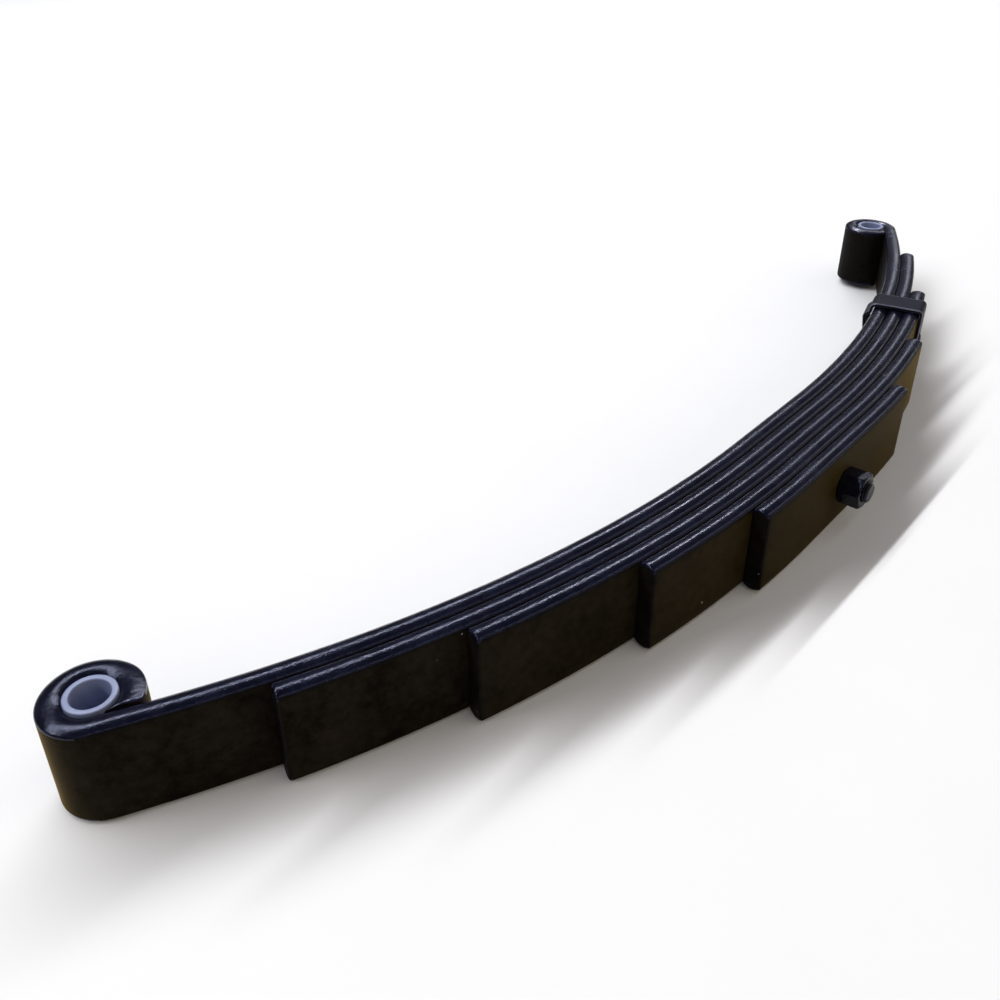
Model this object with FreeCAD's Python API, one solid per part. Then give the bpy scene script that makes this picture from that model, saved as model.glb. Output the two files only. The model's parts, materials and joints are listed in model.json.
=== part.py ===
import FreeCAD, Part

import math
import os

# Double-eye leaf spring for a light trailer, in millimetres.
#
# The spring lies on its side: +Z runs along the eye axes, +X from the front eye to the
# rear eye, and +Y towards the concave side. The origin is where the centre bolt's axis
# meets the main leaf's concave seat, at the middle of the leaf's width.

# Leaves
leaf_width = 44.45
leaf_thickness = 9.14
edge_round = 2.4
seat_half_length = 31.8
arch_radius = 645.0
main_arc_angle = math.radians(26.7)
eye_spacing = 660.4
bolt_hole_radius = 5.7
half_lengths = {"leaf_2": 294.0, "leaf_3": 223.0, "leaf_4": 144.5, "leaf_5": 79.0}

# Rolled eyes and their bushings
bushing_outer_radius = 9.525
bushing_bore_radius = 7.14
bushing_chamfer = 0.5
bushing_clearance = 0.05
eye_bore_radius = bushing_outer_radius + bushing_clearance
eye_outer_radius = eye_bore_radius + leaf_thickness
tip_gap_outside = 0.2
tip_gap_inside = 0.6

# Centre bolt and nut
bolt_radius = 5.56
bolt_end_length = 2.3
bolt_end_chamfer = 0.8
head_radius = 7.94
head_height = 6.35
head_chamfer = 0.6
nut_across_flats = 16.7
nut_height = 11.8
nut_hole_radius = 5.6
nut_chamfer_share = 0.8

# Rebound clip, a strap folded round the first three leaves
clip_reach = 186.0
clip_leaves = 3
strap_width = 20.0
strap_thickness = 2.2
strap_gap = 0.3
strap_base_gap = 0.3
base_corner = 2.4
fold_corner = 4.6
tab_gap = 0.5
tab_step = 3.3
tab_step_drop = 5.6
tab_tip_gap = 2.4
tab_length = 19.4
rivet_radius = 3.0
rivet_clearance = 0.08
rivet_head_radius = 5.2
rivet_head_height = 1.2
rivet_end_gap = 0.3

same_length = 1e-4

leaf_names = ["leaf_1_main"] + sorted(half_lengths)
pack_depth = leaf_thickness * len(leaf_names)
half_width = leaf_width / 2
up = FreeCAD.Vector(0, 0, 1)
towards_convex = FreeCAD.Vector(0, -1, 0)
towards_concave = FreeCAD.Vector(0, 1, 0)


def on_arch(radius, angle):
    """Point in plan at a radius from the centre of the rear arm's arc."""
    return FreeCAD.Vector(
        seat_half_length + radius * math.sin(angle), arch_radius - radius * math.cos(angle), 0
    )


def arch_edge(radius, start, end):
    """Arc round the rear arm's centre, between two angles from the seat's normal."""
    middle = (start + end) / 2
    return Part.Arc(on_arch(radius, start), on_arch(radius, middle), on_arch(radius, end)).toShape()


def joined(edges):
    """Face inside edges that follow one another, with lines across their gaps."""
    outline = []
    for edge, following in zip(edges, edges[1:] + edges[:1]):
        outline.append(edge)
        here, there = end_point(edge), start_point(following)
        if here.distanceToPoint(there) > same_length:
            outline.append(Part.makeLine(here, there))
    return Part.Face(Part.Wire(Part.__sortEdges__(outline)))


def start_point(edge):
    return edge.valueAt(edge.FirstParameter)


def end_point(edge):
    return edge.valueAt(edge.LastParameter)


def wide_solid(face):
    """A plan face made as wide as a leaf, about the middle of the width."""
    return face.translated(up * -half_width).extrude(up * leaf_width)


def front_copy(rear_solid):
    """The mirror image of a rear solid, on the front arm."""
    return rear_solid.mirror(FreeCAD.Vector(0, 0, 0), FreeCAD.Vector(1, 0, 0))


def plain_leaf_half(index, half_length):
    """Rear half of a square-cut leaf, in plan."""
    inner = arch_radius + index * leaf_thickness
    outer = inner + leaf_thickness
    tip = (half_length - seat_half_length) / (inner + leaf_thickness / 2)
    centre_in = FreeCAD.Vector(0, arch_radius - inner, 0)
    centre_out = FreeCAD.Vector(0, arch_radius - outer, 0)
    return joined([
        Part.makeLine(centre_in, on_arch(inner, 0)),
        arch_edge(inner, 0, tip),
        arch_edge(outer, tip, 0),
        Part.makeLine(on_arch(outer, 0), centre_out),
    ])


def eye_frame():
    """Centre of the rear eye, and the directions along and across the leaf there."""
    along = FreeCAD.Vector(math.cos(main_arc_angle), math.sin(main_arc_angle), 0)
    across = FreeCAD.Vector(-math.sin(main_arc_angle), math.cos(main_arc_angle), 0)
    arc_end = on_arch(arch_radius, main_arc_angle) + across * eye_bore_radius
    straight = (eye_spacing / 2 - arc_end.x) / along.x
    return arc_end + along * straight, along, across


def main_leaf_half():
    """Rear half of the main leaf in plan, up to where its eye starts."""
    centre, _, across = eye_frame()
    outer = arch_radius + leaf_thickness
    return joined([
        Part.makeLine(FreeCAD.Vector(0, 0, 0), on_arch(arch_radius, 0)),
        arch_edge(arch_radius, 0, main_arc_angle),
        Part.makeLine(on_arch(arch_radius, main_arc_angle), centre - across * eye_bore_radius),
        Part.makeLine(centre - across * eye_outer_radius, on_arch(outer, main_arc_angle)),
        arch_edge(outer, main_arc_angle, 0),
        Part.makeLine(on_arch(outer, 0), FreeCAD.Vector(0, -leaf_thickness, 0)),
    ])


def tip_cutter(centre, along, across):
    """The space under the eye's scarfed tip, between it and the leaf."""
    tip_outside_y = eye_bore_radius - tip_gap_outside
    tip_inside_y = eye_bore_radius - tip_gap_inside
    tip_inside_x = math.sqrt(eye_bore_radius**2 - tip_inside_y**2)
    far = eye_outer_radius + 1
    corners = [
        (0, far), (0, tip_inside_y), (tip_inside_x, tip_inside_y), (far, tip_outside_y), (far, far)
    ]
    points = [centre - along * x - across * y for x, y in corners]
    return wide_solid(Part.Face(Part.makePolygon(points + points[:1])))


def rolled_eye():
    """The rear eye: the leaf's end rolled round the bushing, with a scarfed tip."""
    centre, along, across = eye_frame()
    base = centre - up * half_width
    roll = Part.makeCylinder(eye_outer_radius, leaf_width, base, up)
    rims = [edge for edge in roll.Edges if edge.BoundBox.ZLength < same_length]
    roll = roll.makeFillet(edge_round, rims)
    roll = roll.cut(Part.makeCylinder(eye_bore_radius, leaf_width, base, up))
    return roll.cut(tip_cutter(centre, along, across))


def bolt_hole():
    """Hole for the centre bolt, through the whole pack."""
    start = FreeCAD.Vector(0, 1, 0)
    return Part.makeCylinder(bolt_hole_radius, pack_depth + 2, start, towards_convex)


def rounded_bar(rear_half):
    """A leaf from its rear half in plan, with its long edges rounded and its ends square."""
    rear_solid = wide_solid(rear_half)
    solid = rear_solid.fuse(front_copy(rear_solid)).removeSplitter()
    rims = []
    for edge in solid.Edges:
        box = edge.BoundBox
        at_rim = abs(abs(box.ZMax) - half_width) < same_length and box.ZLength < same_length
        if at_rim and edge.Length > 2 * leaf_thickness:
            rims.append(edge)
    return solid.makeFillet(edge_round, rims)


def leaf_1_main():
    rear_eye = rolled_eye()
    bar = rounded_bar(main_leaf_half())
    return bar.fuse([rear_eye, front_copy(rear_eye)]).removeSplitter().cut(bolt_hole())


def plain_leaf(index, half_length):
    return rounded_bar(plain_leaf_half(index, half_length)).cut(bolt_hole())


def chamfered_cylinder(radius, length, chamfer, base, direction, both_ends):
    """A cylinder with both of its end rims chamfered, or only the rim away from its base."""
    solid = Part.makeCylinder(radius, length, base, direction)
    far = base + direction * length
    rims = []
    for edge in solid.Edges:
        if not isinstance(edge.Curve, Part.Circle):
            continue
        at_far_end = edge.Curve.Center.distanceToPoint(far) < same_length
        if at_far_end or both_ends:
            rims.append(edge)
    return solid.makeChamfer(chamfer, rims)


def centre_bolt():
    """Centre bolt: a round head on the main leaf's seat, and a shank through the nut."""
    origin = FreeCAD.Vector(0, 0, 0)
    shank_length = pack_depth + nut_height + bolt_end_length
    head = chamfered_cylinder(head_radius, head_height, head_chamfer, origin, towards_concave, False)
    shank = chamfered_cylinder(
        bolt_radius, shank_length, bolt_end_chamfer, origin, towards_convex, False
    )
    return head.fuse(shank).removeSplitter()


def centre_nut():
    """Hex nut with chamfered corners, one flat upwards, against the shortest leaf."""
    corner_radius = nut_across_flats / math.sqrt(3)
    corners = []
    for i in range(7):
        angle = math.radians(60 * i)
        x, z = corner_radius * math.cos(angle), corner_radius * math.sin(angle)
        corners.append(FreeCAD.Vector(x, -pack_depth, z))
    prism = Part.Face(Part.makePolygon(corners)).extrude(towards_convex * nut_height)
    base = FreeCAD.Vector(0, -pack_depth, 0)
    corner_chamfer = corner_radius - nut_across_flats / 2
    blank = chamfered_cylinder(
        corner_radius, nut_height, corner_chamfer * nut_chamfer_share, base, towards_convex, True
    )
    hole = Part.makeCylinder(nut_hole_radius, nut_height, base, towards_convex)
    return prism.common(blank).cut(hole)


def bushing(side):
    """Nylon sleeve in the front eye (side -1) or the rear eye (side 1)."""
    centre = eye_frame()[0]
    base = FreeCAD.Vector(side * centre.x, centre.y, -half_width)
    sleeve = chamfered_cylinder(
        bushing_outer_radius, leaf_width, bushing_chamfer, base, up, True
    )
    return sleeve.cut(Part.makeCylinder(bushing_bore_radius, leaf_width, base, up))


def place_at_clip(solid):
    """Move a solid from the clip's own frame to its place on the rear arm.

    In the clip's frame +X runs along the leaf, and Y = 0 is the main leaf's concave face.
    """
    mid_radius = arch_radius + leaf_thickness / 2
    angle = (clip_reach - seat_half_length) / mid_radius
    turned = solid.rotated(FreeCAD.Vector(0, 0, 0), up, math.degrees(angle))
    return turned.translated(on_arch(arch_radius, angle))


def strap_prism(section):
    """A solid as wide as the strap, from its (y, z) section across the leaves."""
    points = [FreeCAD.Vector(-strap_width / 2, y, z) for y, z in section]
    face = Part.Face(Part.makePolygon(points + points[:1]))
    return face.extrude(FreeCAD.Vector(strap_width, 0, 0))


def folded_leg():
    """The strap's upper leg over the leaves' edges, with its tab stepped outwards."""
    base_y = -clip_leaves * leaf_thickness - strap_base_gap - strap_thickness
    inner_z = half_width + strap_gap
    outer_z = inner_z + strap_thickness
    step_z = outer_z - tab_step_drop
    end_z = outer_z - tab_length
    mitre = strap_thickness * math.tan(math.radians(45) / 2)
    outside = [
        (base_y, outer_z),
        (tab_gap + strap_thickness, outer_z),
        (tab_gap + strap_thickness, step_z),
        (tab_gap + tab_step + strap_thickness, step_z - tab_step),
        (tab_tip_gap + strap_thickness, end_z),
    ]
    inside = [
        (tab_tip_gap, end_z),
        (tab_gap + tab_step, step_z - tab_step - mitre),
        (tab_gap, step_z - mitre),
        (tab_gap, inner_z),
        (base_y, inner_z),
    ]
    return strap_prism(outside + inside)


def strap_folds(solid, concave_side):
    """The strap's outer fold lines on one side of the leaves: at full height, along the leaf."""
    outer_z = half_width + strap_gap + strap_thickness
    folds = []
    for edge in solid.Edges:
        box = edge.BoundBox
        is_high = abs(abs(box.ZMax) - outer_z) < same_length and box.ZLength < same_length
        runs_along = box.XLength > strap_width - strap_thickness
        if is_high and runs_along and (box.YMax > 0) == concave_side:
            folds.append(edge)
    return folds


def strap():
    """The folded strap in the clip's own frame, without its rivet hole."""
    inner_y = -clip_leaves * leaf_thickness - strap_base_gap
    base_y = inner_y - strap_thickness
    outer_z = half_width + strap_gap + strap_thickness
    base = strap_prism([(base_y, -outer_z), (inner_y, -outer_z), (inner_y, outer_z), (base_y, outer_z)])
    upper = folded_leg()
    lower = upper.mirror(FreeCAD.Vector(0, 0, 0), up)
    solid = base.fuse([upper, lower]).removeSplitter()
    solid = solid.makeFillet(fold_corner, strap_folds(solid, True))
    return solid.makeFillet(base_corner, strap_folds(solid, False))


def rivet_bore(radius):
    """Cylinder along the rivet's axis, long enough to pass through strap and leaf."""
    base = FreeCAD.Vector(0, -(clip_leaves + 1) * leaf_thickness, 0)
    return Part.makeCylinder(radius, 2 * leaf_thickness, base, towards_concave)


def rebound_clip():
    return place_at_clip(strap().cut(rivet_bore(rivet_radius)))


def clip_rivet():
    """Rivet through the strap and the third leaf, with a low head outside."""
    strap_out = -clip_leaves * leaf_thickness - strap_base_gap - strap_thickness
    inner_end = -(clip_leaves - 1) * leaf_thickness - rivet_end_gap
    outside = FreeCAD.Vector(0, strap_out, 0)
    shank = Part.makeCylinder(rivet_radius, inner_end - strap_out, outside, towards_concave)
    head = chamfered_cylinder(
        rivet_head_radius, rivet_head_height, rivet_head_height / 2, outside, towards_convex, False
    )
    return place_at_clip(shank.fuse(head).removeSplitter())


def all_parts():
    """Every node's name and solid."""
    parts = {"leaf_1_main": leaf_1_main()}
    for index, name in enumerate(leaf_names[1:], start=1):
        parts[name] = plain_leaf(index, half_lengths[name])
    riveted_leaf = leaf_names[clip_leaves - 1]
    rivet_hole = place_at_clip(rivet_bore(rivet_radius + rivet_clearance))
    parts[riveted_leaf] = parts[riveted_leaf].cut(rivet_hole)
    parts["centre_bolt"] = centre_bolt()
    parts["centre_nut"] = centre_nut()
    parts["front_bushing"] = bushing(-1)
    parts["rear_bushing"] = bushing(1)
    parts["rebound_clip"] = rebound_clip()
    parts["clip_rivet"] = clip_rivet()
    return parts


os.makedirs("parts", exist_ok=True)
for node, shape in all_parts().items():
    print(node, "valid", shape.isValid(), "solids", len(shape.Solids), "volume", round(shape.Volume))
    shape.exportStep("parts/" + node + ".step")
eye_centre = eye_frame()[0]
print("rear eye centre", round(eye_centre.x, 3), round(eye_centre.y, 3))
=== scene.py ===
import json
import math

import bmesh
import bpy
from mathutils import Matrix, Vector, noise


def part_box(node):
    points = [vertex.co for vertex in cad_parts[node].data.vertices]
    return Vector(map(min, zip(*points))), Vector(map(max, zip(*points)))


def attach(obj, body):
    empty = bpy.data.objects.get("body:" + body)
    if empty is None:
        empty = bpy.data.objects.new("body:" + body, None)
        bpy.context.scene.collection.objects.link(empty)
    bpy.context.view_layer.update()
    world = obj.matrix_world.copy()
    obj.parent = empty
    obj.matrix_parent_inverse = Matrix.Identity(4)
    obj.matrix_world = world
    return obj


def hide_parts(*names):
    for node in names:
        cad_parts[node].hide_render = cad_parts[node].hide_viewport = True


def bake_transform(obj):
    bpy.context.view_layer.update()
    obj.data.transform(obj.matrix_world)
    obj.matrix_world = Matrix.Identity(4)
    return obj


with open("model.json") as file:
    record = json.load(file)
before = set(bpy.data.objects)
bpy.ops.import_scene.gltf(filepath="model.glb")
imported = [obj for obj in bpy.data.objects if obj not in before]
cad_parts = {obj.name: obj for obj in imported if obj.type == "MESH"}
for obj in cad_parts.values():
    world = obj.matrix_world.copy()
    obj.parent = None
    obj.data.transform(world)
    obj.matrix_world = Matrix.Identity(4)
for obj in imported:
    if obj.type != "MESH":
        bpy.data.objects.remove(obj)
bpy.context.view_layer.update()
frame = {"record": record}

# Double-eye leaf spring, in metres, in the frame of the CAD model: +Z along the eye axes, +X from
# the front eye to the rear eye, +Y towards the concave side.

MM = 0.001
leaf_low, leaf_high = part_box("leaf_1_main")
HALF_WIDTH = leaf_high.z
PACK_DEPTH = -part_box("leaf_5")[0].y
LEAF_COUNT = 5
LEAF_T = PACK_DEPTH / LEAF_COUNT
SEAT_HALF = 31.8 * MM
ARCH_RADIUS = 645 * MM
MAIN_ARC_ANGLE = math.radians(26.7)
STRAIGHT_WAY = Vector((math.cos(MAIN_ARC_ANGLE), math.sin(MAIN_ARC_ANGLE), 0))
HALF_LENGTHS = {"leaf_2": 294 * MM, "leaf_3": 223 * MM, "leaf_4": 144.5 * MM, "leaf_5": 79 * MM}
EYE_BORE = 9.575 * MM
EYE_OUTER = EYE_BORE + LEAF_T
mounts = {m["name"]: m for m in frame["record"]["mounts"]}
REAR_EYE = Vector(mounts["rear_eye_bore"]["pos_m"])
UP = Vector((0, 0, 1))
ALONG = Vector((1, 0, 0))
CONVEX = Vector((0, -1, 0))
CENTRE = Vector((0, 0, 0))


# ---------------------------------------------------------------- mesh helpers

SHARP_ANGLE = 38


def new_object(name, verts, faces, sharp_angle=SHARP_ANGLE):
    """A mesh object, smooth except where its faces meet at more than sharp_angle degrees."""
    mesh = bpy.data.meshes.new(name)
    mesh.from_pydata(verts, [], faces)
    mesh.validate()
    for polygon in mesh.polygons:
        polygon.use_smooth = True
    mesh.set_sharp_from_angle(angle=math.radians(sharp_angle))
    obj = bpy.data.objects.new(name, mesh)
    bpy.context.scene.collection.objects.link(obj)
    return obj


CORNER_STEPS = 4


def bar_profile(half_t, half_w, crown_radius, corner, face_steps, crown_steps):
    """Closed section of a rolled flat bar, as (across, wide) points: flat faces, crowned edges."""
    centre = half_w - crown_radius
    widest = math.asin(min(1, half_t / crown_radius))
    meet = Vector((half_t, centre + crown_radius * math.cos(widest)))
    low = Vector((half_t, meet.y - corner))
    turn = widest - corner / crown_radius
    high = Vector((crown_radius * math.sin(turn), centre + crown_radius * math.cos(turn)))
    quarter = [Vector((half_t, low.y * i / face_steps)) for i in range(face_steps)]
    for i in range(CORNER_STEPS + 1):
        s = i / CORNER_STEPS
        quarter.append(low * (1 - s) ** 2 + meet * 2 * s * (1 - s) + high * s * s)
    for i in range(1, crown_steps + 1):
        a = turn * (1 - i / crown_steps)
        quarter.append(Vector((crown_radius * math.sin(a), centre + crown_radius * math.cos(a))))
    second = [Vector((-p.x, p.y)) for p in reversed(quarter[:-1])]
    upper = quarter + second
    lower = [Vector((p.x, -p.y)) for p in reversed(upper[1:-1])]
    return upper + lower


def wander(point, size, amount):
    """A smooth random offset, the same for the same place."""
    return noise.noise(point / size) * amount


CROWN_DROP = 1.8 * MM
CROWN_BAND = 3 * MM
CROWN_BLEND = 2 * MM
LONG_WAVE, SHORT_WAVE, FACE_WAVE = 16 * MM, 6 * MM, 28 * MM
SHORT_SHARE, FACE_SHARE, WAVE_BIAS = 0.35, 0.5, 0.5


def sweep(name, stations, profile, half_t, half_w, wide, end_round, start_round, ripple, fill=None):
    """A bar through stations (inner point, outer point): its section keeps the profile.

    end_round and start_round soften the bar's two square ends. fill(reach, p), with the reach from
    the bar's end, is the share by which a point of the crowned edge rises to full width.
    """
    lengths = [0.0]
    middles = [(a + b) / 2 for a, b in stations]
    for here, there in zip(middles, middles[1:]):
        lengths.append(lengths[-1] + (there - here).length)
    total = lengths[-1]
    verts, faces = [], []
    count = len(profile)
    for (inner, outer), middle, along in zip(stations, middles, lengths):
        across = (outer - inner) / 2
        inset = 0.0
        for reach, soft in ((total - along, end_round), (along, start_round)):
            if soft > 0 and reach < soft:
                inset = max(inset, soft - math.sqrt(max(0, soft**2 - (soft - reach) ** 2)))
        shrink_t, shrink_w = 1 - inset / half_t, 1 - inset / half_w
        for p in profile:
            height = p.y
            if fill is not None and abs(p.y) > half_w - CROWN_DROP:
                height += math.copysign((half_w - abs(p.y)) * fill(total - along, p), p.y)
            point = middle + across * (p.x / half_t * shrink_t) + wide * (height * shrink_w)
            crown = min(1, max(0, (abs(p.y) - half_w + CROWN_BAND) / CROWN_BLEND))
            if ripple > 0:
                wave = wander(point, LONG_WAVE, ripple) + wander(point, SHORT_WAVE, ripple * SHORT_SHARE)
                point -= wide * (math.copysign(1, p.y) * crown * (wave + ripple * WAVE_BIAS))
                face = wander(point + UP, FACE_WAVE, ripple * FACE_SHARE) * (1 - crown)
                point -= across.normalized() * math.copysign(1, p.x) * abs(face)
            verts.append(point)
    for k in range(len(stations) - 1):
        for i in range(count):
            j = (i + 1) % count
            faces.append((k * count + i, k * count + j, (k + 1) * count + j, (k + 1) * count + i))
    faces.append(tuple(reversed(range(count))))
    last = (len(stations) - 1) * count
    faces.append(tuple(last + i for i in range(count)))
    return new_object(name, verts, faces)


END_ANGLES = (0, 22, 44, 62, 78, 90)


def end_steps(total, soft):
    """Extra places near a softened end, so that its rounding is smooth."""
    return [total - soft * (1 - math.sin(math.radians(a))) for a in END_ANGLES]


def round_loop(name, loop, segments, origin, axis, sharp_angle, capped=False):
    """A turned piece about axis, with angles measured from ALONG.

    loop(angle) gives its (radius, height) points. Uncapped loops close on themselves, and capped
    ones are closed by flat ends.
    """
    third = axis.cross(ALONG)
    verts, faces = [], []
    for k in range(segments):
        angle = 2 * math.pi * k / segments
        out = ALONG * math.cos(angle) + third * math.sin(angle)
        ring = loop(angle)
        count = len(ring)
        verts += [origin + out * r + axis * h for r, h in ring]
    spans = count - 1 if capped else count
    for k in range(segments):
        a, b = k * count, (k + 1) % segments * count
        for i in range(spans):
            j = (i + 1) % count
            faces.append((a + i, b + i, b + j, a + j))
    if capped:
        faces.append(tuple(k * count for k in reversed(range(segments))))
        faces.append(tuple(k * count + count - 1 for k in range(segments)))
    return new_object(name, verts, faces, sharp_angle)


def rounded(points, radius, steps):
    """Corner points of a closed (radius, height) loop, with each corner rounded."""
    result = []
    for before, corner, after in zip(points[-1:] + points[:-1], points, points[1:] + points[:1]):
        c = Vector(corner)
        back, ahead = Vector(before) - c, Vector(after) - c
        reach = min(radius, back.length / 2.1, ahead.length / 2.1)
        a, b = c + back.normalized() * reach, c + ahead.normalized() * reach
        for i in range(steps + 1):
            s = i / steps
            result.append(tuple(a * (1 - s) ** 2 + c * 2 * s * (1 - s) + b * s * s))
    return result


def axes_matrix(x, y, z, place):
    """The matrix that has these axes as its columns, at a place."""
    return Matrix((
        (x.x, y.x, z.x, place.x), (x.y, y.y, z.y, place.y), (x.z, y.z, z.z, place.z), (0, 0, 0, 1),
    ))


def fix_normals(obj):
    """Face normals outward, whichever way the piece was wound."""
    made = bmesh.new()
    made.from_mesh(obj.data)
    bmesh.ops.recalc_face_normals(made, faces=made.faces)
    made.to_mesh(obj.data)
    made.free()


# ---------------------------------------------------------------- materials

def set_stops(ramp, stops):
    """Fill a colour ramp with (position, colour) stops; a plain number stands for a grey."""
    elements = ramp.elements
    while len(elements) < len(stops):
        elements.new(0.5)
    for element, (at, colour) in zip(elements, stops):
        element.position = at
        if not isinstance(colour, tuple):
            colour = (colour, colour, colour)
        element.color = (*colour, 1)


class Nodes:
    """A small helper that adds and links the nodes of one material."""

    def __init__(self, name):
        self.material = bpy.data.materials.new(name)
        self.material.use_nodes = True
        self.tree = self.material.node_tree
        self.tree.nodes.clear()
        self.shader = self.add("ShaderNodeBsdfPrincipled")
        output = self.add("ShaderNodeOutputMaterial")
        self.tree.links.new(self.shader.outputs[0], output.inputs[0])
        self.place = self.add("ShaderNodeTexCoord").outputs["Object"]

    def add(self, kind, **values):
        node = self.tree.nodes.new(kind)
        for key, value in values.items():
            setattr(node, key, value)
        return node

    def set(self, node, name, value):
        """Link a socket to an input, or set the input to a plain value."""
        if isinstance(value, bpy.types.NodeSocket):
            self.tree.links.new(value, node.inputs[name])
        else:
            node.inputs[name].default_value = value

    def noise(self, scale, detail=2.0, rough=0.5, offset=None):
        """A noise pattern of so many cells per metre."""
        where = self.place
        if offset:
            mapping = self.add("ShaderNodeMapping")
            self.set(mapping, "Vector", where)
            mapping.inputs["Location"].default_value = offset
            where = mapping.outputs[0]
        node = self.add("ShaderNodeTexNoise")
        self.set(node, "Vector", where)
        node.inputs["Scale"].default_value = scale
        node.inputs["Detail"].default_value = detail
        node.inputs["Roughness"].default_value = rough
        return node.outputs["Fac"]

    def ramp(self, value, stops):
        node = self.add("ShaderNodeValToRGB")
        self.set(node, "Fac", value)
        set_stops(node.color_ramp, stops)
        return node.outputs["Color"]

    def math(self, operation, a, b=0.0, clamp=False):
        node = self.add("ShaderNodeMath", operation=operation, use_clamp=clamp)
        self.set(node, 0, a)
        self.set(node, 1, b)
        return node.outputs[0]

    def mix(self, share, a, b):
        node = self.add("ShaderNodeMix", data_type="RGBA")
        for key, value in ((0, share), (6, a), (7, b)):
            if isinstance(value, tuple):
                value = (*value, 1)
            self.set(node, key, value)
        return node.outputs[2]

    def bump(self, layers):
        """Chained bumps: (height, strength, distance in metres)."""
        normal = None
        for height, strength, distance in layers:
            node = self.add("ShaderNodeBump")
            self.set(node, "Height", height)
            self.set(node, "Strength", strength)
            node.inputs["Distance"].default_value = distance
            if normal is not None:
                self.set(node, "Normal", normal)
            normal = node.outputs[0]
        self.set(self.shader, "Normal", normal)

    def fade(self, start, end, at_start, at_end):
        """A value that changes along the spring between X = start and X = end."""
        xyz = self.add("ShaderNodeSeparateXYZ")
        self.set(xyz, 0, self.place)
        node = self.add("ShaderNodeMapRange", clamp=True)
        self.set(node, "Value", xyz.outputs[0])
        ends = {"From Min": start, "From Max": end, "To Min": at_start, "To Max": at_end}
        for key, value in ends.items():
            self.set(node, key, value)
        return node.outputs[0]

    def specks(self, scale, size, share, offset=(0, 0, 0)):
        """1 in small scattered dots, 0 elsewhere: a share of the cells has a dot."""
        mapping = self.add("ShaderNodeMapping")
        self.set(mapping, "Vector", self.place)
        mapping.inputs["Location"].default_value = offset
        cells = self.add("ShaderNodeTexVoronoi")
        self.set(cells, "Vector", mapping.outputs[0])
        cells.inputs["Scale"].default_value = scale
        colour = self.add("ShaderNodeSeparateColor")
        self.set(colour, 0, cells.outputs["Color"])
        chosen = self.math("LESS_THAN", colour.outputs[0], share)
        radius = self.math("MULTIPLY", colour.outputs[1], size)
        inside = self.math("LESS_THAN", cells.outputs["Distance"], radius)
        return self.math("MULTIPLY", chosen, inside)


DUST, LINT, RUST = (0.10, 0.09, 0.075), (0.30, 0.31, 0.36), (0.16, 0.03, 0.012)
DUST_COVER, DUST_ROUGHNESS = 0.08, 2.0
# Sheen tint and roughness: an olive-brown sheen at grazing angles, partly dust and partly a painted
# reflection of a brown floor.
DUST_AND_REFLECTION_SHEEN_TINT, DUST_AND_REFLECTION_SHEEN_ROUGHNESS = (0.62, 0.40, 0.06), 0.3
LEVEL_START, LEVEL_END = -0.24, -0.05
LEVEL_RELIEF, LEVEL_ROUGHNESS = 0.12, 0.04
BROAD_STRENGTH, GRAIN_STRENGTH = 0.25, 1.0
BROAD_DEPTH, PEEL_DEPTH, GRAIN_DEPTH = 0.2 * MM, 0.12 * MM, 0.06 * MM


def paint(name, dark, light, rough, peel, spec, tint=(1, 1, 1), dust_and_reflection_sheen=0.0, level_off=False):
    """Sprayed paint over rolled steel: orange peel, mottling, dust, lint and rust specks.

    tint colours its reflections, and the sheen amount adds an olive-brown sheen at grazing angles: partly a
    dusty bloom, partly a painted reflection of a brown floor.
    With level_off the paint is glossy and peeled at the front, and levels off to satin at the rear.
    """
    n = Nodes(name)
    mottle = n.noise(46, 3.0, 0.6)
    small = n.noise(240, 3.0, 0.65, offset=(0.4, 0.2, 0.6))
    fine = n.noise(760, 2.0, 0.6)
    grain = n.noise(1700, 1.0, 0.5, offset=(0.3, 0.1, 0.2))
    broad = n.noise(150, 2.0, 0.5, offset=(0.1, 0.4, 0.3))
    tone = n.math("ADD", n.math("MULTIPLY", mottle, 0.5), n.math("MULTIPLY", small, 0.5))
    colour = n.ramp(tone, [(0.36, dark), (0.66, light)])
    gloss = n.ramp(tone, [(0.3, rough - 0.06), (0.7, rough + 0.08)])
    dust_area = n.ramp(n.noise(30, 4.0, 0.65, offset=(0.7, 0.2, 0.5)), [(0.5, 0.0), (0.8, 1.0)])
    dust = n.math("MULTIPLY", dust_area, n.ramp(grain, [(0.45, 0.0), (0.75, DUST_COVER)]))
    colour = n.mix(dust, colour, DUST)
    colour = n.mix(n.specks(190, 0.09, 0.035), colour, LINT)
    colour = n.mix(n.specks(70, 0.05, 0.03, offset=(0.21, 0.37, 0.11)), colour, RUST)
    n.set(n.shader, "Base Color", colour)
    if level_off:
        gloss = n.math("ADD", gloss, n.fade(LEVEL_START, LEVEL_END, 0.0, LEVEL_ROUGHNESS))
    gloss = n.math("ADD", gloss, n.math("MULTIPLY", dust, DUST_ROUGHNESS), clamp=True)
    n.set(n.shader, "Roughness", gloss)
    n.shader.inputs["Specular IOR Level"].default_value = spec
    n.shader.inputs["Specular Tint"].default_value = (*tint, 1)
    n.shader.inputs["Sheen Weight"].default_value = dust_and_reflection_sheen
    n.shader.inputs["Sheen Roughness"].default_value = DUST_AND_REFLECTION_SHEEN_ROUGHNESS
    n.shader.inputs["Sheen Tint"].default_value = (*DUST_AND_REFLECTION_SHEEN_TINT, 1)
    strengths = [BROAD_STRENGTH, peel, GRAIN_STRENGTH]
    if level_off:
        relief = n.fade(LEVEL_START, LEVEL_END, 1.0, LEVEL_RELIEF)
        strengths = [n.math("MULTIPLY", relief, strength) for strength in strengths]
    heights, depths = (broad, fine, grain), (BROAD_DEPTH, PEEL_DEPTH, GRAIN_DEPTH)
    n.bump(zip(heights, strengths, depths))
    return n.material


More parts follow.
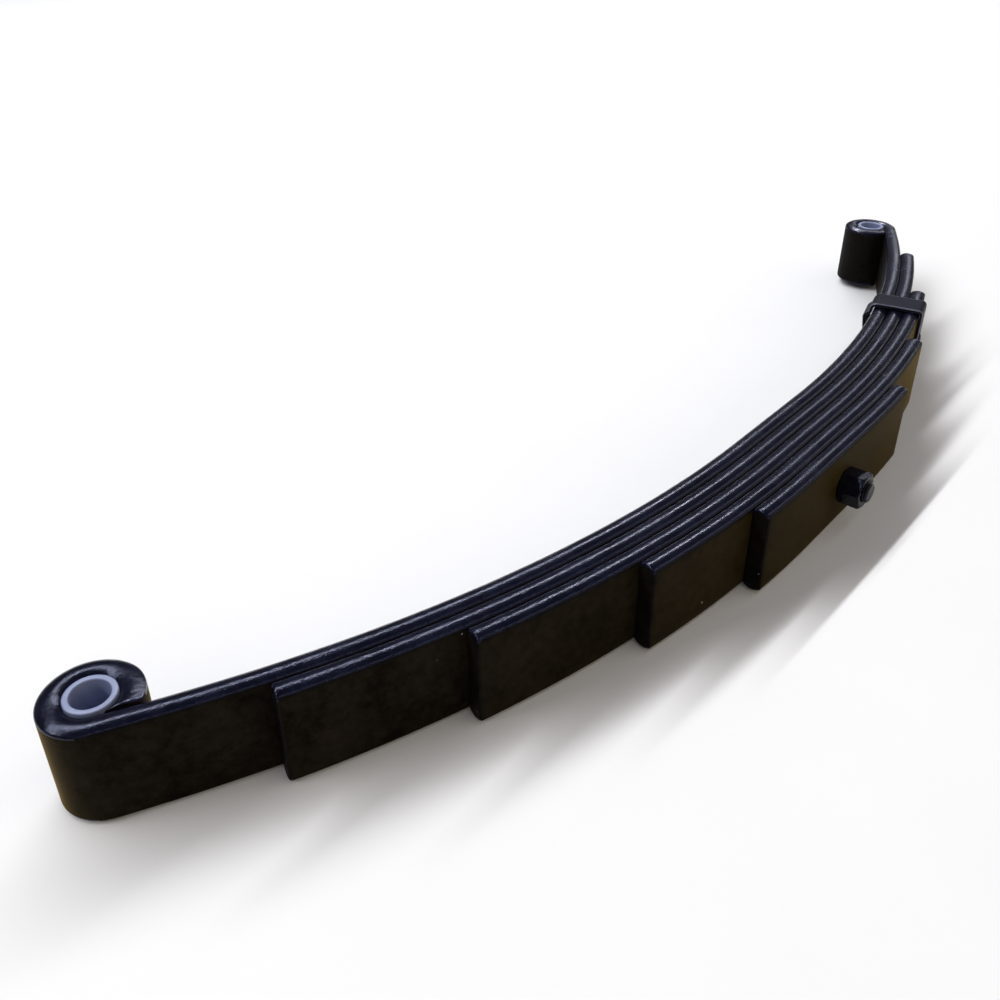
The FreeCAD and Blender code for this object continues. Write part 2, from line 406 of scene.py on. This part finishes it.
NYLON_DARK, NYLON_LIGHT = (0.175, 0.207, 0.335), (0.222, 0.26, 0.405)
NYLON_GLOSS = (0.36, 0.48)
NYLON_DEPTH = 1.2 * MM


def nylon(name):
    """Natural moulded nylon: slightly translucent, satin, with faint cloudiness."""
    n = Nodes(name)
    cloud = n.noise(110, 2.0, 0.5)
    n.set(n.shader, "Base Color", n.ramp(cloud, [(0.3, NYLON_DARK), (0.7, NYLON_LIGHT)]))
    n.set(n.shader, "Roughness", n.ramp(n.noise(300), [(0.3, NYLON_GLOSS[0]), (0.7, NYLON_GLOSS[1])]))
    n.shader.inputs["Subsurface Weight"].default_value = 0.35
    n.shader.inputs["Subsurface Radius"].default_value = (1.0, 1.0, 1.2)
    n.shader.inputs["Subsurface Scale"].default_value = NYLON_DEPTH
    n.shader.inputs["IOR"].default_value = 1.53
    n.bump([(n.noise(420, 1.0), 0.25, 0.06 * MM), (n.noise(1800, 1.0), 0.3, 0.02 * MM)])
    return n.material


# A blue tint on the reflections of the leaf edges, fasteners and clip: painted cool sky light.
SKY_REFLECTION_TINT = (0.62, 0.68, 1.0)
FACE_DARK, FACE_LIGHT = (0.0022, 0.0017, 0.0012), (0.0135, 0.0105, 0.0076)
# Sheen amount leaf by leaf: how much painted floor reflection each leaf's faces show, least on the fifth
# leaf, as painted shade from the nut's dark reflection.
FACE_DUST_AND_REFLECTION_SHEENS = (0.45, 0.55, 0.62, 0.6, 0.38)
FACE_PAINTS = [
    paint(f"leaf_{number}_face_paint", FACE_DARK, FACE_LIGHT, 0.5, 0.5, 0.012, dust_and_reflection_sheen=dust_and_reflection_sheen)
    for number, dust_and_reflection_sheen in enumerate(FACE_DUST_AND_REFLECTION_SHEENS, 1)
]
# A darker, duller copy of the leaf paint: painted shade on the concave side, the ends, the eye and the
# crown's corner towards the convex side.
SHADED_INNER_PAINT = paint("leaf_shaded_inner_paint", (0.0014, 0.0011, 0.0009), (0.0075, 0.006, 0.005), 0.5, 0.5, 0.04)
# A navy, glossier copy of the same black paint for the crowned edges: painted blue sky light on the
# up-facing edges.
SKY_LIT_EDGE_PAINT = paint(
    "leaf_sky_lit_edge_paint", (0.0012, 0.0013, 0.0042), (0.0052, 0.0056, 0.0155), 0.18, 0.9, 0.27,
    tint=SKY_REFLECTION_TINT, level_off=True,
)
FASTENER_PAINT = paint(
    "fastener_paint", (0.003, 0.003, 0.005), (0.008, 0.008, 0.013), 0.2, 1.2, 0.15, tint=SKY_REFLECTION_TINT
)
CLIP_PAINT = paint("clip_paint", (0.003, 0.0035, 0.007), (0.008, 0.009, 0.015), 0.48, 0.8, 0.08, tint=SKY_REFLECTION_TINT)
# A lighter, glossier copy of the clip paint for the strap's rounded rims: painted highlight lines.
CLIP_RIM_HIGHLIGHT_PAINT = paint(
    "clip_rim_highlight_paint", (0.028, 0.029, 0.042), (0.10, 0.103, 0.135), 0.3, 1.2, 0.5, tint=SKY_REFLECTION_TINT
)
NYLON = nylon("nylon")


def finish_piece(obj, material, node):
    """Turn its faces outward, paint it, and hide the CAD node it stands for."""
    fix_normals(obj)
    obj.data.materials.append(material)
    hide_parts(node)


# ---------------------------------------------------------------- leaves

def on_arch(radius, angle):
    """A point of the rear arm's arc, at this radius and this angle past the flat seat."""
    return Vector((SEAT_HALF + radius * math.sin(angle), ARCH_RADIUS - radius * math.cos(angle), 0))


def leaf_station(index, along):
    """Inner and outer points of the rear arm of leaf number index, at a length along its middle."""
    inner = ARCH_RADIUS + index * LEAF_T
    if along <= SEAT_HALF:
        return Vector((along, -index * LEAF_T, 0)), Vector((along, -(index + 1) * LEAF_T, 0))
    angle = (along - SEAT_HALF) / (inner + LEAF_T / 2)
    if index == 0 and angle > MAIN_ARC_ANGLE:
        past = (angle - MAIN_ARC_ANGLE) * (inner + LEAF_T / 2)
        ends = on_arch(inner, MAIN_ARC_ANGLE), on_arch(inner + LEAF_T, MAIN_ARC_ANGLE)
        return tuple(p + STRAIGHT_WAY * past for p in ends)
    return on_arch(inner, angle), on_arch(inner + LEAF_T, angle)


EYE_STEP = 6
SCARF_START = 180
SCARF_INNER, SCARF_OUTER = 69.6, 29.9
SCARF_STEPS = 12


def eye_stations():
    """Stations round the rear eye, from the leaf to the scarfed tip of the roll."""
    across = Vector((-STRAIGHT_WAY.y, STRAIGHT_WAY.x, 0))

    def at(radius, degrees):
        a = math.radians(degrees)
        return REAR_EYE + (STRAIGHT_WAY * math.cos(a) + across * math.sin(a)) * radius

    stations = []
    for degrees in range(-90, SCARF_START, EYE_STEP):
        stations.append((at(EYE_BORE, degrees), at(EYE_OUTER, degrees)))
    for i in range(SCARF_STEPS + 1):
        s = i / SCARF_STEPS
        inner, outer = SCARF_START + SCARF_INNER * s, SCARF_START + SCARF_OUTER * s
        stations.append((at(EYE_BORE, inner), at(EYE_OUTER, outer)))
    return stations


EDGE_START = HALF_WIDTH - 2.4 * MM
CROWN_RADIUS = 0.8 * LEAF_T
LEAF_CORNER = 0.8 * MM
LEAF_PROFILE = bar_profile(LEAF_T / 2, HALF_WIDTH, CROWN_RADIUS, LEAF_CORNER, 8, 9)
LEAF_RIPPLE = 0.05 * MM
LEAF_END_ROUND, EYE_TIP_ROUND = 1.1 * MM, 0.3 * MM
STATION_STEP = 3 * MM
TIP_FILL_SHARE, TIP_FILL_REACH = 0.75, 22 * MM
# Material slots of the navy edge copy of the leaf paint, painted sky light, and of the darker copy, painted
# shade.
SKY_LIT_EDGE_SLOT, SHADED_INNER_SLOT = 1, 2
FACING_CONVEX, OUTER_FACE = -0.7, -0.85


def tip_fill(reach, p):
    """The eye's tip is pressed on the leaf: its inner corner loses the crown there."""
    if p.x < 0:
        return 0.0
    return TIP_FILL_SHARE * max(0, 1 - reach / TIP_FILL_REACH)


def main_stations():
    """Stations of the main leaf's rear half: seat, arc, straight run and eye."""
    eye = eye_stations()
    arc_end = on_arch(ARCH_RADIUS, MAIN_ARC_ANGLE)
    straight = (eye[0][0] - arc_end).dot(STRAIGHT_WAY)
    total = SEAT_HALF + MAIN_ARC_ANGLE * (ARCH_RADIUS + LEAF_T / 2) + straight
    count = round(total / STATION_STEP)
    return [leaf_station(0, total * i / count) for i in range(count)] + eye


def plain_stations(index, half_length):
    """Stations of the rear half of a shorter leaf, closer together near its end."""
    even = half_length - LEAF_END_ROUND
    count = round(even / STATION_STEP)
    places = [even * i / count for i in range(count)]
    return [leaf_station(index, s) for s in places + end_steps(half_length, LEAF_END_ROUND)]


def mirrored(stations):
    """The same stations for the front half."""
    return [tuple(Vector((-p.x, p.y, p.z)) for p in pair) for pair in stations]


def paint_leaf(obj, with_shaded_inner):
    """Lit and shaded copies of the leaf paint: the crowned edges get the navy copy, painted sky light, and
    their corner towards the convex side the darker copy, painted shade; with the flag set, the concave
    side, the ends and the eye get the darker copy too.
    """
    obj.data.materials.append(SKY_LIT_EDGE_PAINT)
    obj.data.materials.append(SHADED_INNER_PAINT)
    for polygon in obj.data.polygons:
        if abs(polygon.center.z) > EDGE_START:
            polygon.material_index = SHADED_INNER_SLOT if polygon.normal.y < FACING_CONVEX else SKY_LIT_EDGE_SLOT
        elif with_shaded_inner and polygon.normal.y > OUTER_FACE:
            polygon.material_index = SHADED_INNER_SLOT


def leaf_half(name, node, index, half_length, rear):
    """One half of a leaf, which bends from the pack towards its own eye."""
    stations = plain_stations(index, half_length) if index else main_stations()
    if not rear:
        stations = mirrored(stations)
    end_round, fill = (LEAF_END_ROUND, None) if index else (EYE_TIP_ROUND, tip_fill)
    obj = sweep(name, stations, LEAF_PROFILE, LEAF_T / 2, HALF_WIDTH, UP, end_round, 0, LEAF_RIPPLE, fill)
    finish_piece(obj, FACE_PAINTS[index], node)
    paint_leaf(obj, rear or index > 0)
    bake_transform(obj)


leaves = [("leaf_1_main", None)] + sorted(HALF_LENGTHS.items())
for number, (leaf, reach) in enumerate(leaves):
    leaf_half(leaf + "_rear", leaf, number, reach, True)
    leaf_half(leaf + "_front", leaf, number, reach, False)


# ---------------------------------------------------------------- centre bolt and nut

BOLT_RADIUS = 5.56 * MM
BOLT_END = -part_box("centre_bolt")[0].y
HEAD_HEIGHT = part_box("centre_bolt")[1].y
HEAD_RADIUS = 7.94 * MM
HEAD_CORNER, HEAD_CORNER_STEPS = 0.7 * MM, 5
HEAD_LIP, HEAD_LIP_HEIGHT = 0.2 * MM, 0.25 * MM
NECK_FILLET = 0.3 * MM
SHANK_END, THREAD_START = PACK_DEPTH - 3 * MM, PACK_DEPTH - 2 * MM
THREAD_PITCH = 25.4 * MM / 20
THREAD_DEPTH, THREAD_SHARPNESS, THREAD_STEPS = 0.5 * MM, 0.8, 10
END_CHAMFER, THREAD_BLEND = 0.95 * MM, 0.3 * MM
FACE_SHARES = (0.3, 0.7)
NUT_APOTHEM = 8.35 * MM
NUT_TURN = math.radians(5)
NUT_HEIGHT = -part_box("centre_nut")[0].y - PACK_DEPTH
NUT_CONE_SLOPE, NUT_CONE_RISE, NUT_BLEND = 1.73, 0.15 * MM, 0.45 * MM
NUT_STEPS = 16
HOLE_GAP, HOLE_RIM, HOLE_DEPTH = 0.04 * MM, 1.4 * MM, 0.5 * MM
TOP_CHAMFER, TOP_SINK, BOTTOM_CHAMFER = 0.55 * MM, 0.02 * MM, 0.5 * MM
HARD_ANGLE = 50


def soft_min(a, b, width):
    """The smaller of two values, blended where they are within width of each other."""
    share = max(width - abs(a - b), 0) / width
    return min(a, b) - share * share * width / 4


def thread_radius(height, angle):
    """The bolt's radius on its thread, tapered at the end by the chamfer."""
    turn = (height / THREAD_PITCH - angle / (2 * math.pi)) % 1
    ridge = 0.5 + 0.5 * math.cos(2 * math.pi * turn)
    radius = BOLT_RADIUS - THREAD_DEPTH * (1 - ridge**THREAD_SHARPNESS)
    return soft_min(radius, BOLT_RADIUS - END_CHAMFER + (BOLT_END - height), THREAD_BLEND)


def bolt_ring(angle):
    """Head, plain shank and threaded end, from the head's face to the bolt's end."""
    points = [(HEAD_RADIUS * s, -HEAD_HEIGHT) for s in FACE_SHARES]
    for i in range(HEAD_CORNER_STEPS + 1):
        a = math.radians(90 / HEAD_CORNER_STEPS * i)
        radius = HEAD_RADIUS - HEAD_CORNER + HEAD_CORNER * math.sin(a)
        points.append((radius, -HEAD_HEIGHT + HEAD_CORNER - HEAD_CORNER * math.cos(a)))
    points += [(HEAD_RADIUS, -HEAD_LIP_HEIGHT), (HEAD_RADIUS - HEAD_LIP, 0), (BOLT_RADIUS + NECK_FILLET, 0)]
    points += [(BOLT_RADIUS, NECK_FILLET), (BOLT_RADIUS, SHANK_END)]
    steps = round((BOLT_END - THREAD_START) / (THREAD_PITCH / THREAD_STEPS))
    for i in range(steps + 1):
        h = THREAD_START + (BOLT_END - THREAD_START) * i / steps
        points.append((thread_radius(h, angle), h))
    last_radius = points[-1][0]
    points += [(last_radius * s, BOLT_END) for s in reversed(FACE_SHARES)]
    return points


def nut_ring(angle):
    """Closed section of the nut: chamfered hexagon outside, threaded hole inside."""
    sector = (angle + NUT_TURN) % (math.pi / 3) - math.pi / 6
    flat = NUT_APOTHEM / math.cos(sector)
    points = []
    for i in range(NUT_STEPS + 1):
        h = NUT_HEIGHT * (0.5 - 0.5 * math.cos(math.pi * (i / NUT_STEPS)))
        near = min(h, NUT_HEIGHT - h)
        cone = NUT_APOTHEM + NUT_CONE_RISE + near * NUT_CONE_SLOPE
        points.append((soft_min(flat, cone, NUT_BLEND), PACK_DEPTH + h))
    hole = BOLT_RADIUS + HOLE_GAP
    top, bottom = PACK_DEPTH + NUT_HEIGHT, PACK_DEPTH
    points += [(hole + HOLE_RIM, top), (hole + TOP_CHAMFER, top - TOP_SINK), (hole, top - HOLE_DEPTH)]
    points += [(hole, bottom + HOLE_DEPTH), (hole + BOTTOM_CHAMFER, bottom), (hole + HOLE_RIM, bottom)]
    return points


bolt = round_loop("centre_bolt_body", bolt_ring, 72, CENTRE, CONVEX, HARD_ANGLE, capped=True)
finish_piece(bolt, FASTENER_PAINT, "centre_bolt")
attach(bolt, "leaf_pack")
nut = round_loop("centre_nut_body", nut_ring, 144, CENTRE, CONVEX, HARD_ANGLE)
finish_piece(nut, FASTENER_PAINT, "centre_nut")
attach(nut, "leaf_pack")


# ---------------------------------------------------------------- bushings

sleeve_low, sleeve_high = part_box("rear_bushing")
SLEEVE_OUTER = (sleeve_high.x - sleeve_low.x) / 2
SLEEVE_HALF = sleeve_high.z
SLEEVE_BORE = 7.14 * MM
SLEEVE_CORNER, CORNER_ARC_STEPS = 0.7 * MM, 6
FLASH, FLASH_NARROWNESS, FLASH_REACH = 0.05 * MM, 9, 1 * MM
SLEEVE_ANGLE = 60


def bushing_ring(angle):
    """The sleeve's section, with moulding flash at two places near its ends."""
    flash = FLASH * math.exp(-((math.sin(angle) * FLASH_NARROWNESS) ** 2))
    corners = [
        (SLEEVE_BORE, -SLEEVE_HALF), (SLEEVE_OUTER, -SLEEVE_HALF),
        (SLEEVE_OUTER, SLEEVE_HALF), (SLEEVE_BORE, SLEEVE_HALF),
    ]
    points = []
    for r, h in rounded(corners, SLEEVE_CORNER, CORNER_ARC_STEPS):
        outside = abs(h) > SLEEVE_HALF - FLASH_REACH and r > SLEEVE_BORE + FLASH_REACH
        points.append((r + flash if outside else r, h))
    return points


for side, body in ((-1, "front_eye"), (1, "rear_eye")):
    centre = Vector((side * REAR_EYE.x, REAR_EYE.y, 0))
    sleeve = round_loop(body + "_sleeve", bushing_ring, 96, centre, UP, SLEEVE_ANGLE)
    finish_piece(sleeve, NYLON, "front_bushing" if side < 0 else "rear_bushing")
    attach(sleeve, body)


# ---------------------------------------------------------------- rebound clip

CLIP_REACH = 186 * MM
STRAP_T = 2.2 * MM
STRAP_HALF = 10 * MM
STRAP_GAP = 0.3 * MM
TAB_GAP, TAB_STEP, TAB_TIP_GAP = 0.5 * MM, 3.3 * MM, 2.4 * MM
TAB_STEP_DROP = 5.6 * MM
TAB_LENGTH = 19.4 * MM
BASE_BEND, FOLD_BEND, STEP_BEND = 1.9 * MM, 3.5 * MM, 2.2 * MM
BEND_STEPS = 9
PATH_STEP = 1.2 * MM
STRAP_END_ROUND, STRAP_CORNER, STRAP_CROWN = 0.8 * MM, 0.9 * MM, 4 * MM
WOBBLE_SIZE, WOBBLE = 9 * MM, 0.08 * MM
RIM_START, RIM_END, RIM_HIGHLIGHT_SLOT = 0.06, 0.85, 1
RIVET_SHANK, RIVET_HEAD, RIVET_DOME, RIVET_SINK = 3 * MM, 5.2 * MM, 1.2 * MM, 0.2 * MM
RIVET_STEPS, DOME_WIDE_POWER, DOME_HIGH_POWER = 12, 0.75, 0.9
clip_angle = (CLIP_REACH - SEAT_HALF) / (ARCH_RADIUS + LEAF_T / 2)
CLIP_PLACE = Matrix.Translation(on_arch(ARCH_RADIUS, clip_angle)) @ Matrix.Rotation(clip_angle, 4, "Z")


def rounded_path(corners, bends, step):
    """Points along straight runs joined by arcs of the radii in bends, as (point, direction)."""
    path = []
    runs = list(zip(corners, corners[1:]))
    cut = [0.0]
    for (a, b), (_, c), radius in zip(runs, runs[1:], bends):
        cut.append(radius * math.tan((b - a).angle(c - b) / 2))
    cut.append(0.0)
    for k, (a, b) in enumerate(runs):
        direction = (b - a).normalized()
        first, last = a + direction * cut[k], b - direction * cut[k + 1]
        count = max(1, round((last - first).length / step))
        path += [(first.lerp(last, i / count), direction) for i in range(count + 1)]
        if k + 1 < len(runs):
            radius = bends[k]
            following = (runs[k + 1][1] - runs[k + 1][0]).normalized()
            inward = (following - direction * direction.dot(following)).normalized()
            centre = last + inward * radius
            for i in range(1, BEND_STEPS):
                angle = direction.angle(following) * (i / BEND_STEPS)
                point = centre - inward * radius * math.cos(angle) + direction * radius * math.sin(angle)
                heading = direction * math.cos(angle) + inward * math.sin(angle)
                path.append((point, heading))
    return path


def clip_strap():
    """The strap folded round three leaves, in the clip's own frame, then put in its place."""
    base_y = -3 * LEAF_T - STRAP_GAP - STRAP_T / 2
    leg_z = HALF_WIDTH + STRAP_GAP + STRAP_T / 2
    top_z = leg_z + STRAP_T / 2
    tab_y = TAB_GAP + STRAP_T / 2
    step_z = top_z - TAB_STEP_DROP - STRAP_T / 2 * math.tan(math.radians(45) / 2)
    upper = [
        (TAB_TIP_GAP + STRAP_T / 2, top_z - TAB_LENGTH), (tab_y + TAB_STEP, step_z - TAB_STEP),
        (tab_y, step_z), (tab_y, leg_z), (base_y, leg_z),
    ]
    lower = [(y, -z) for y, z in reversed(upper)]
    bends = [STEP_BEND, STEP_BEND, FOLD_BEND, BASE_BEND]
    path = rounded_path([Vector((0, y, z)) for y, z in upper + lower], bends + bends[::-1], PATH_STEP)
    soft = STRAP_END_ROUND
    first, first_way = path[0]
    last, last_way = path[-1]
    starts = [(first + first_way * (soft - s), first_way) for s in end_steps(soft, soft)][::-1]
    ends = [(last - last_way * (soft - s), last_way) for s in end_steps(soft, soft)]
    path = starts + path[1:-1] + ends
    stations = []
    for point, way in path:
        outward = Vector((0, way.z, -way.y))
        stations.append((point - outward * STRAP_T / 2, point + outward * STRAP_T / 2))
    profile = bar_profile(STRAP_T / 2, STRAP_HALF, STRAP_CROWN, STRAP_CORNER, 6, 4)
    obj = sweep("rebound_clip_strap", stations, profile, STRAP_T / 2, STRAP_HALF, ALONG, soft, soft, 0)
    for vert in obj.data.vertices:
        vert.co.z += wander(vert.co, WOBBLE_SIZE, WOBBLE)
    obj.data.transform(CLIP_PLACE)
    return obj


def rivet_ring(angle):
    """Low domed head outside the strap, and the shank."""
    base = 3 * LEAF_T + STRAP_GAP + STRAP_T
    seat = base - RIVET_SINK
    points = [(RIVET_SHANK, 2 * LEAF_T + STRAP_GAP), (RIVET_SHANK, seat), (RIVET_HEAD, seat)]
    for i in range(1, RIVET_STEPS):
        a = math.radians(90 * i / RIVET_STEPS)
        rise = RIVET_DOME * math.sin(a) ** DOME_HIGH_POWER
        points.append((RIVET_HEAD * math.cos(a) ** DOME_WIDE_POWER, base + rise))
    return points


strap = clip_strap()
finish_piece(strap, CLIP_PAINT, "rebound_clip")
# The strap's rounded rims take the lighter copy of the clip paint: painted highlight lines.
strap.data.materials.append(CLIP_RIM_HIGHLIGHT_PAINT)
to_clip = CLIP_PLACE.inverted()
for polygon in strap.data.polygons:
    if RIM_START < abs((to_clip.to_3x3() @ polygon.normal).x) < RIM_END:
        polygon.material_index = RIM_HIGHLIGHT_SLOT
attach(strap, "clip")
rivet = round_loop("clip_rivet_body", rivet_ring, 48, CENTRE, CONVEX, HARD_ANGLE, capped=True)
rivet.data.transform(CLIP_PLACE)
finish_piece(rivet, CLIP_PAINT, "clip_rivet")
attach(rivet, "clip")


# ---------------------------------------------------------------- floor, light and camera

FLOOR_HALF = 9.0
FLOOR_DARK, FLOOR_LIGHT = (0.80, 0.795, 0.785), (0.815, 0.81, 0.80)
SKY_STOPS = [(0.0, (0.22, 0.18, 0.12)), (0.10, (0.10, 0.10, 0.11)), (1.0, (0.09, 0.10, 0.14))]


def pale_floor():
    """A wide floor that just touches the clip's lower leg and the front end of the main leaf."""
    clip_low, clip_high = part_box("rebound_clip")
    support = (clip_low.x + clip_high.x) / 2
    front = leaf_low.x
    slope = (clip_low.z + HALF_WIDTH) / (support - front)
    verts = []
    for x in (-FLOOR_HALF, FLOOR_HALF):
        for y in (-FLOOR_HALF, FLOOR_HALF):
            verts.append((x, y, clip_low.z + (x - support) * slope))
    obj = new_object("floor", verts, [(0, 2, 3, 1)])
    n = Nodes("pale_floor")
    tone = n.noise(7, 4.0, 0.6)
    n.set(n.shader, "Base Color", n.ramp(tone, [(0.3, FLOOR_DARK), (0.7, FLOOR_LIGHT)]))
    n.shader.inputs["Roughness"].default_value = 0.8
    n.shader.inputs["Specular IOR Level"].default_value = 0.2
    obj.data.materials.append(n.material)


def sky():
    """A dim studio: warm at the horizon and cool overhead."""
    world = bpy.data.worlds.new("studio")
    bpy.context.scene.world = world
    world.use_nodes = True
    tree = world.node_tree
    tree.nodes.clear()
    output = tree.nodes.new("ShaderNodeOutputWorld")
    back = tree.nodes.new("ShaderNodeBackground")
    ramp = tree.nodes.new("ShaderNodeValToRGB")
    split = tree.nodes.new("ShaderNodeSeparateXYZ")
    coord = tree.nodes.new("ShaderNodeTexCoord")
    tree.links.new(coord.outputs["Generated"], split.inputs[0])
    tree.links.new(split.outputs[2], ramp.inputs[0])
    tree.links.new(ramp.outputs[0], back.inputs[0])
    tree.links.new(back.outputs[0], output.inputs[0])
    set_stops(ramp.color_ramp, SKY_STOPS)
    back.inputs["Strength"].default_value = 1.0


STRIP_DISTANCE = 4.0


def strip(name, psi, width, radiance, colour, length, start):
    """A long softbox parallel to the spring, which begins at X = start.

    psi is its angle about the X axis in degrees, from the concave side's horizon over the top.
    """
    data = bpy.data.lights.new(name, "AREA")
    data.shape = "RECTANGLE"
    data.size, data.size_y = length, width
    data.energy = radiance * math.pi * length * width
    data.color = colour
    obj = bpy.data.objects.new(name, data)
    a = math.radians(psi)
    toward = Vector((0, math.cos(a), math.sin(a)))
    place = Vector((start + length / 2, toward.y * STRIP_DISTANCE, toward.z * STRIP_DISTANCE))
    obj.matrix_world = axes_matrix(ALONG, toward.cross(ALONG), toward, place)
    obj.visible_camera = False
    bpy.context.scene.collection.objects.link(obj)


CAMERA_PLACE = Vector((-420.27, -186.42, 271.95)) * MM
CAMERA_HEADING, CAMERA_DIP, CAMERA_ROLL = (math.radians(d) for d in (48.578, 29.644, -0.352))
LENS, SENSOR, SHIFT_Y = 35.0, 36.0, -0.083
CLIP_START, CLIP_END = 0.01, 60


def camera():
    """The photo's camera, from a fit to the leaf edges and ends."""
    forward = Vector((
        math.sin(CAMERA_HEADING) * math.cos(CAMERA_DIP),
        math.cos(CAMERA_HEADING) * math.cos(CAMERA_DIP),
        -math.sin(CAMERA_DIP),
    ))
    right = Vector((math.cos(CAMERA_HEADING), -math.sin(CAMERA_HEADING), 0))
    above = right.cross(forward)
    tilted_right = right * math.cos(CAMERA_ROLL) + above * math.sin(CAMERA_ROLL)
    tilted_above = above * math.cos(CAMERA_ROLL) - right * math.sin(CAMERA_ROLL)
    data = bpy.data.cameras.new("camera")
    data.sensor_width, data.lens, data.shift_y = SENSOR, LENS, SHIFT_Y
    data.clip_start, data.clip_end = CLIP_START, CLIP_END
    obj = bpy.data.objects.new("camera", data)
    obj.matrix_world = axes_matrix(tilted_right, tilted_above, -forward, CAMERA_PLACE)
    bpy.context.scene.collection.objects.link(obj)
    bpy.context.scene.camera = obj


pale_floor()
sky()
strip("back_strip_near", 56, 0.12, 86.0, (0.96, 0.97, 1.0), 10.5, -6.0)
strip("back_strip_far", 56, 0.34, 7.0, (0.86, 0.88, 1.0), 13.5, 4.5)
strip("top_strip", 112, 0.3, 3.5, (0.96, 0.97, 1.0), 24.0, -6.0)
strip("front_fill", 155, 3.0, 0.8, (1.0, 0.82, 0.55), 24.0, -6.0)
camera()
bpy.context.scene.view_settings.view_transform = "Standard"
